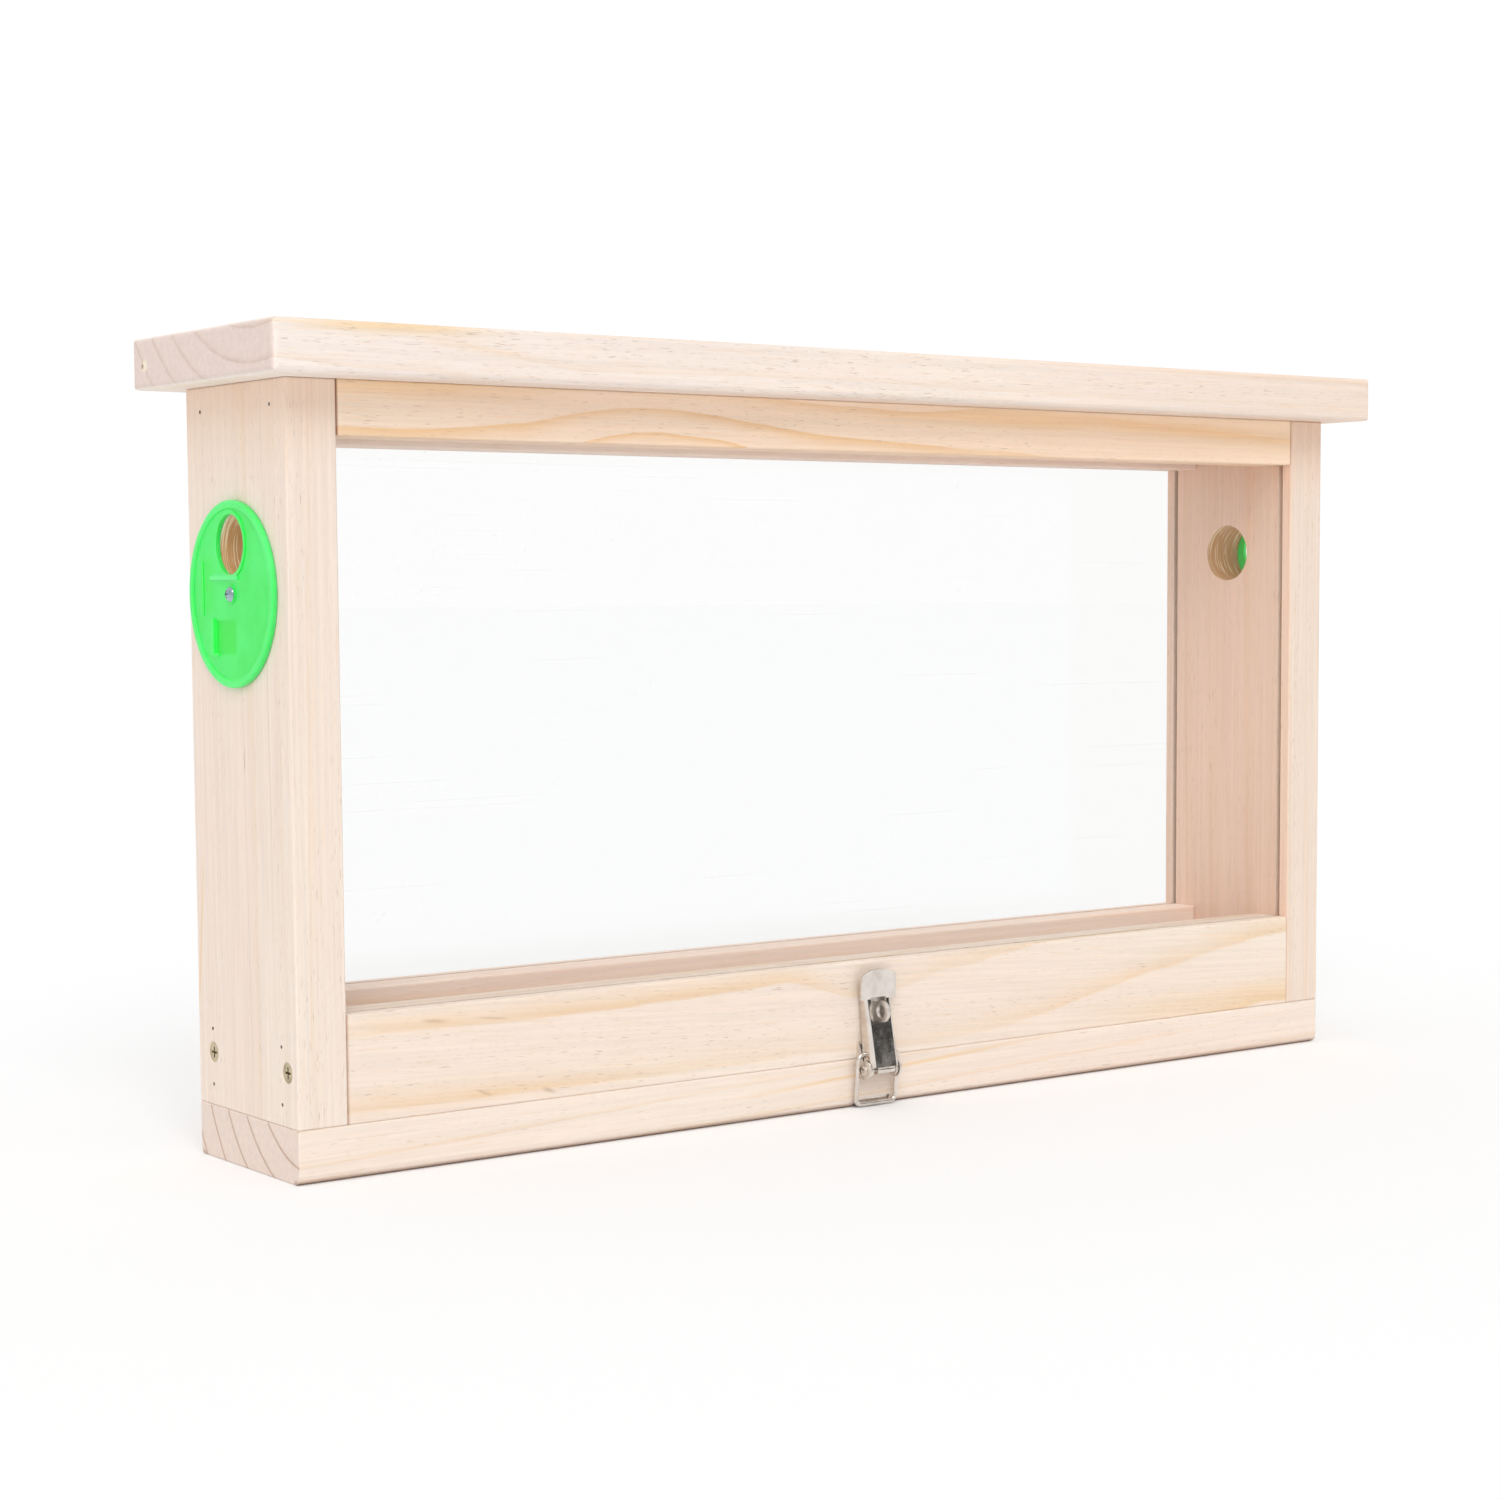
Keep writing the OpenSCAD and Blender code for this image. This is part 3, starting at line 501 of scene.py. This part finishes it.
def clear_pane(name):
    """Clear acrylic: what is behind shows through unbent, with a mirror sheen, dust and wipe marks on it,
    and a painted glow on its sawn edges.
    """
    g = Graph(name)
    place = g.place.outputs["Object"]
    smear = g.noise(place, scale=9.0, detail=4.0, roughness=0.6).outputs[0]
    dust = g.noise(place, scale=700.0, detail=1.0).outputs[0]
    scratch_place = g.nodes.new("ShaderNodeMapping")
    g.put(scratch_place.inputs["Vector"], place)
    scratch_place.inputs["Rotation"].default_value = (0.0, math.radians(28.0), 0.0)
    scratch_place.inputs["Scale"].default_value = (6.0, 40.0, 900.0)
    scratch = g.noise(scratch_place.outputs[0], scale=1.0, detail=2.0).outputs[0]
    clear = g.nodes.new("ShaderNodeBsdfTransparent")
    clear.inputs["Color"].default_value = (0.996, 0.997, 0.996, 1)
    sheen = g.nodes.new("ShaderNodeBsdfGlossy")
    g.put(sheen.inputs["Roughness"], g.between(smear, 0.35, 0.7, 0.015, 0.09))
    haze = g.nodes.new("ShaderNodeBsdfDiffuse")
    haze.inputs["Color"].default_value = (0.92, 0.94, 0.95, 1)
    tilt = g.nodes.new("ShaderNodeLayerWeight")
    tilt.inputs["Blend"].default_value = 0.5
    mirrored = g.math("MULTIPLY_ADD", g.math("POWER", tilt.outputs["Facing"], 5.0), 1 - HEAD_ON, HEAD_ON)
    pane = g.nodes.new("ShaderNodeMixShader")
    g.put(pane.inputs[0], mirrored)
    g.put(pane.inputs[1], clear.outputs[0])
    g.put(pane.inputs[2], sheen.outputs[0])
    soiled = g.nodes.new("ShaderNodeMixShader")
    marks = g.math("ADD", g.between(smear, 0.45, 0.8, 0.0, 0.012), g.between(dust, 0.70, 0.80, 0.0, 0.08))
    marks = g.math("ADD", marks, g.between(scratch, 0.70, 0.78, 0.0, 0.05))
    g.put(soiled.inputs[0], marks)
    g.put(soiled.inputs[1], pane.outputs[0])
    g.put(soiled.inputs[2], haze.outputs[0])
    # Painted glow: the sawn edges emit light though they are no lamp
    edge = g.nodes.new("ShaderNodeEmission")
    edge.inputs["Color"].default_value = (*EDGE_GLOW, 1)
    sheet = g.nodes.new("ShaderNodeMixShader")
    facing = g.math("ABSOLUTE", g.split(g.place.outputs["Normal"])[1])
    g.put(sheet.inputs[0], g.between(facing, 0.4, 0.6, 1.0, 0.0))
    g.put(sheet.inputs[1], soiled.outputs[0])
    g.put(sheet.inputs[2], edge.outputs[0])
    g.links.new(sheet.outputs[0], g.output.inputs["Surface"])
    return g.owner


# ---------------------------------------------------------------- dressing the CAD nodes
def dress(node, material):
    """Gives the node this one material."""
    mesh = NODES[node].data
    mesh.materials.clear()
    mesh.materials.append(material)


def soften(node, width):
    """Breaks the sharp edges of a metal piece, as tumbling does, without touching its mesh."""
    piece = NODES[node]
    weld = piece.modifiers.new("weld", "WELD")
    weld.merge_threshold = 0.000002
    bevel = piece.modifiers.new("edges", "BEVEL")
    bevel.width = width
    bevel.segments = 2
    bevel.limit_method = "ANGLE"
    bevel.angle_limit = math.radians(40)
    bevel.harden_normals = True


# Rings of the boards that show the most figure: (place along, height) on the front face, from the
# middle of the board
TOP_DRIFT = [(-276, 0), (-245, -2.5), (-215, -3.2), (-195, -6), (-165, -10.5), (-145, -12), (-80, -11),
             (0, -11.2), (80, -12.7), (276, -13.5)]
TOP_RAIL_LOWER = [(-243, -6), (-200, -5.8), (-178, -4), (-160, -2), (-140, 1.8), (-115, 3.8), (-90, 3),
                  (-70, 1.5), (-50, -1), (-30, -3.5), (0, -5), (40, -7), (90, -9), (243, -16)]
TOP_RAIL_UPPER = [(-243, 13), (-120, 13), (-60, 10.5), (-20, 8.5), (15, 7), (40, 8), (60, 9.5), (95, 9.3),
                  (130, 8), (160, 6), (190, 4.5), (220, 2.8), (243, 2)]
LOW_RAIL_UPPER = [(-243, 11), (-120, 11), (-60, 13), (-38, 12.5), (-10, 5), (10, 6), (30, 11), (60, 15),
                  (90, 20), (150, 29), (243, 45)]
LOW_RAIL_LOWER = [(-243, -16.2), (-100, -17), (-30, -16.3), (14, -17.5), (45, -16.5), (60, -15.3),
                  (100, -10), (140, -1.5), (180, 4.5), (215, 10.3), (243, 13)]
# Painted light: the back rails, seen through the panes inside the hive, a little lighter and pinker all over
INNER_RAIL_LIGHT = (1.06, 1.02, 1.02)
# Painted shade below the top board's overhang, on the heads of the posts
OVERHANG_SHADE = (1.03, 0.94, 0.87)


def round_pith(**settings):
    return "round_pith", settings


def between_edges(**settings):
    return "between_edges", settings


def bore_height(post, joint):
    """How far the bore lies above the middle of the post, from the joint that the disc turns on."""
    low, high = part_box(post)
    return (JOINT_AT[joint].z - (low.z + high.z) / 2) / MM + BORE_LIFT


def dress_wood():
    boards = {
        "top_board": dict(
            along="x", rings=round_pith(pith=(-42, 78), ring=12.0, wave=0.15, drift=TOP_DRIFT),
            contrast=0.22, warm=0.2, dash=0.45, seed=1.3,
            honey=[(-229, 8.2, 36, 2.4, 0.0, 0.75), (-200, 2.2, 22, 1.6, -0.12, 0.25)],
            stain_depth=16.0, pins=[(-276, 48.5, -1.0, 1.0)],
            # tints: left end lighter and bluer, right end darker, as painted light falling off to the right
            tints=((1.02, 1.07, 1.13), (0.965, 0.92, 0.90)), sawn=(0.75, 0.59, 0.51), sawn_rings=0.30),
        "base_board": dict(
            along="x", rings=round_pith(pith=(-51, 57.7), ring=12.85, wave=0.2, slope=0.045),
            start=0.78, contrast=0.30, dash=0.4, seed=2.1,
            # foot: painted contact shade along the base's lower arrises
            honey=[(12, 4.6, 72, 0.7, 0.056, 0.7)], foot=(0.52, 0.40, 0.33)),
        "left_post": dict(
            along="z", rings=round_pith(pith=(70, 26), ring=11.0, wave=0.8, slope=0.01),
            contrast=0.20, dash=0.5, seed=3.7,
            honey=[(-72.5, 36.5, 31, 0.8, -0.113, 0.6)],
            knots=[(0, -23, 140, 0.35, 0.015, 0.16), (0, -2.5, 140, 0.3, 0.019, 0.13),
                   (-2.5, -3, 4, 0.35, 0.0, 0.5)],
            # head: painted shade below the overhang
            tints=((0.975, 0.975, 0.975), (0.97, 0.955, 0.95)), head=OVERHANG_SHADE,
            bore=bore_height("left_post", "left_disc_turn")),
        "right_post": dict(
            along="z", rings=round_pith(pith=(-62, -30), ring=11.0, wave=0.9, slope=0.012),
            contrast=0.25, warm=0.6, seed=4.4,
            # tints: darker all over, painted shade as the light falls off; head: painted shade below the
            # overhang
            tints=((0.945, 0.91, 0.885), (0.935, 0.895, 0.87)), head=OVERHANG_SHADE,
            # inner: painted shade and warm bounce light on the face towards the comb
            inner=(-1.0, (1.08, 0.95, 0.89)), bore=bore_height("right_post", "right_disc_turn")),
        "front_top_rail": dict(
            along="x", rings=between_edges(first=TOP_RAIL_LOWER, second=TOP_RAIL_UPPER, lean=0.9),
            start=0.5, contrast=0.72, warm=0.9, seed=5.2,
            honey=[(-228, 7.2, 60, 3.0, 0.005, 0.35), (85, 5.0, 48, 3.2, 0.0, 0.5),
                   (170, 4.2, 70, 3.2, -0.03, 0.45)],
            # tints: orange wood, also painted lighter against the overhang's shade; joint: painted shade in
            # the joints
            tints=((1.07, 0.99, 0.90), (1.10, 0.97, 0.83)), joint=(0.42, 0.30, 0.24)),
        "back_top_rail": dict(
            along="x", rings=round_pith(pith=(-20, 30), ring=9.0, wave=2.4, slope=0.01),
            contrast=0.4, warm=0.6, seed=6.8, tints=(INNER_RAIL_LIGHT, INNER_RAIL_LIGHT)),
        "front_bottom_rail": dict(
            along="x", rings=between_edges(first=LOW_RAIL_UPPER, second=LOW_RAIL_LOWER, lean=1.6),
            start=0.58, contrast=0.56, warm=0.2, dash=0.55, seed=7.9, skew=-0.05,
            honey=[(200, -14, 70, 5.0, 0.02, 0.32), (-215, 14, 22, 3.0, -0.04, 0.25),
                   (-190, -15.5, 70, 2.6, 0.0, 0.2)],
            knots=[(-207, 14.4, 4.5, 0.7, -0.10, 0.35), (-182, 13.2, 6.0, 0.4, -0.12, 0.35),
                   (-158, -16.5, 2.6, 0.8, -0.3, 0.4), (-186, -14.5, 3.0, 0.6, -0.4, 0.3)],
            # tints: a little darker to the right, painted light falloff; joint: painted shade in the joints
            tints=(PLAIN, (0.985, 0.98, 0.96)), joint=(0.72, 0.62, 0.55)),
        "back_bottom_rail": dict(
            along="x", rings=round_pith(pith=(-40, 50), ring=10.0, wave=1.6, slope=-0.02),
            contrast=0.3, warm=0.5, seed=8.5, tints=(INNER_RAIL_LIGHT, INNER_RAIL_LIGHT)),
    }
    for node, look in boards.items():
        dress(node, pine(node, **look))


def dress_hardware():
    nickel = metal("nickel", (0.78, 0.73, 0.68), (0.52, 0.46, 0.41), 0.10, 0.6, dents=0.16)
    satin = metal("satin_nickel", (0.82, 0.77, 0.72), (0.60, 0.53, 0.47), 0.38, 0.6, seed=2.0)
    zinc = metal("zinc", (0.66, 0.67, 0.70), (0.46, 0.46, 0.47), 0.24, 0.6, seed=7.0)
    blue_zinc = metal("blue_zinc", (0.42, 0.52, 0.57), (0.16, 0.22, 0.25), 0.20, 1.0, seed=9.0)
    yellow = metal("yellow_zinc", (0.60, 0.51, 0.34), (0.34, 0.28, 0.19), 0.30, 0.9, seed=3.0)
    dark = metal("dark_steel", (0.16, 0.13, 0.11), (0.09, 0.07, 0.06), 0.5, 0.8, seed=5.0)
    slots = {"nickel_plate": nickel, "zinc_plate": zinc, "yellow_zinc": yellow, "dark_steel": dark,
             "clear_pane": clear_pane("clear_pane")}
    for entry in frame["record"]["subparts"]:
        if entry["material_slot"] in slots:
            dress(entry["node"], slots[entry["material_slot"]])
    for hand, side in (("left", 1.0), ("right", -1.0)):
        dress(hand + "_entrance_disc", green_plastic(hand + "_green", JOINT_AT[hand + "_disc_turn"], side))
        dress(hand + "_disc_screw", blue_zinc)
    dress("latch_base_plate", satin)
    for node in ("latch_lever", "latch_base_plate", "latch_keeper", "latch_rivet"):
        soften(node, 0.15 * MM)


# ---------------------------------------------------------------- studio
TENT_LEVEL = 0.86
BACKDROP_LEVEL = 1.02
FLAG_LEVEL = 0.04
FLAG_SIDE = (0.62, -0.78)
FLAG_EDGE = (0.86, 0.94)
FLAG_FOOT = (0.07, 0.12)
FLAG_TOP = (0.38, 0.48)
SUN_POWER = 1.1
SUN_FROM = (-0.36, -0.64, 0.68)
SUN_SOFTNESS = 35.0
FLOOR_REACH = 30.0


def add_floor():
    mesh = bpy.data.meshes.new("floor")
    corners = [(x * FLOOR_REACH, y * FLOOR_REACH, 0) for x, y in ((-1, -1), (1, -1), (1, 1), (-1, 1))]
    mesh.from_pydata(corners, [], [(0, 1, 2, 3)])
    floor = bpy.data.objects.new("floor", mesh)
    floor.location.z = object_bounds()[0][2]
    bpy.context.scene.collection.objects.link(floor)
    g = Graph("floor")
    mesh.materials.append(g.surface(Base_Color=(0.93, 0.935, 0.945), Roughness=0.9, Specular_IOR_Level=0.1))


def add_sun():
    """A soft key from the front left, above the hive."""
    data = bpy.data.lights.new("key", "SUN")
    data.angle = math.radians(SUN_SOFTNESS)
    data.energy = SUN_POWER
    light = bpy.data.objects.new("key", data)
    light.rotation_euler = Vector(SUN_FROM).to_track_quat("Z", "Y").to_euler()
    bpy.context.scene.collection.objects.link(light)


def add_world():
    """A white light tent with one dark flag at the front right, raised a little above the hive, which gives
    the bright metal its contrast."""
    g = Graph(None, bpy.data.worlds.new("studio"))
    bpy.context.scene.world = g.owner
    direction = g.place.outputs["Generated"]
    x, y, z = g.split(direction)
    toward = g.math("ADD", g.math("MULTIPLY", x, FLAG_SIDE[0]), g.math("MULTIPLY", y, FLAG_SIDE[1]))
    flag = g.math("MULTIPLY", g.between(toward, *FLAG_EDGE),
                  g.math("MULTIPLY", g.between(z, *FLAG_FOOT), g.between(z, *FLAG_TOP, 1.0, 0.0)))
    light = g.nodes.new("ShaderNodeBackground")
    light.inputs["Color"].default_value = (1.0, 0.995, 0.985, 1)
    g.put(light.inputs["Strength"], g.math("MULTIPLY_ADD", flag, FLAG_LEVEL - TENT_LEVEL, TENT_LEVEL))
    seen = g.nodes.new("ShaderNodeBackground")
    seen.inputs["Strength"].default_value = BACKDROP_LEVEL
    seen.inputs["Color"].default_value = (1, 1, 1, 1)
    path = g.nodes.new("ShaderNodeLightPath")
    blend = g.nodes.new("ShaderNodeMixShader")
    g.put(blend.inputs[0], path.outputs["Is Camera Ray"])
    g.put(blend.inputs[1], light.outputs[0])
    g.put(blend.inputs[2], seen.outputs[0])
    g.links.new(blend.outputs[0], g.output.inputs["Surface"])


def add_studio():
    bpy.context.scene.view_settings.view_transform = "Standard"
    bpy.context.scene.view_settings.look = "None"
    add_world()
    add_floor()
    add_sun()


add_camera()
dress_wood()
dress_hardware()
add_studio()
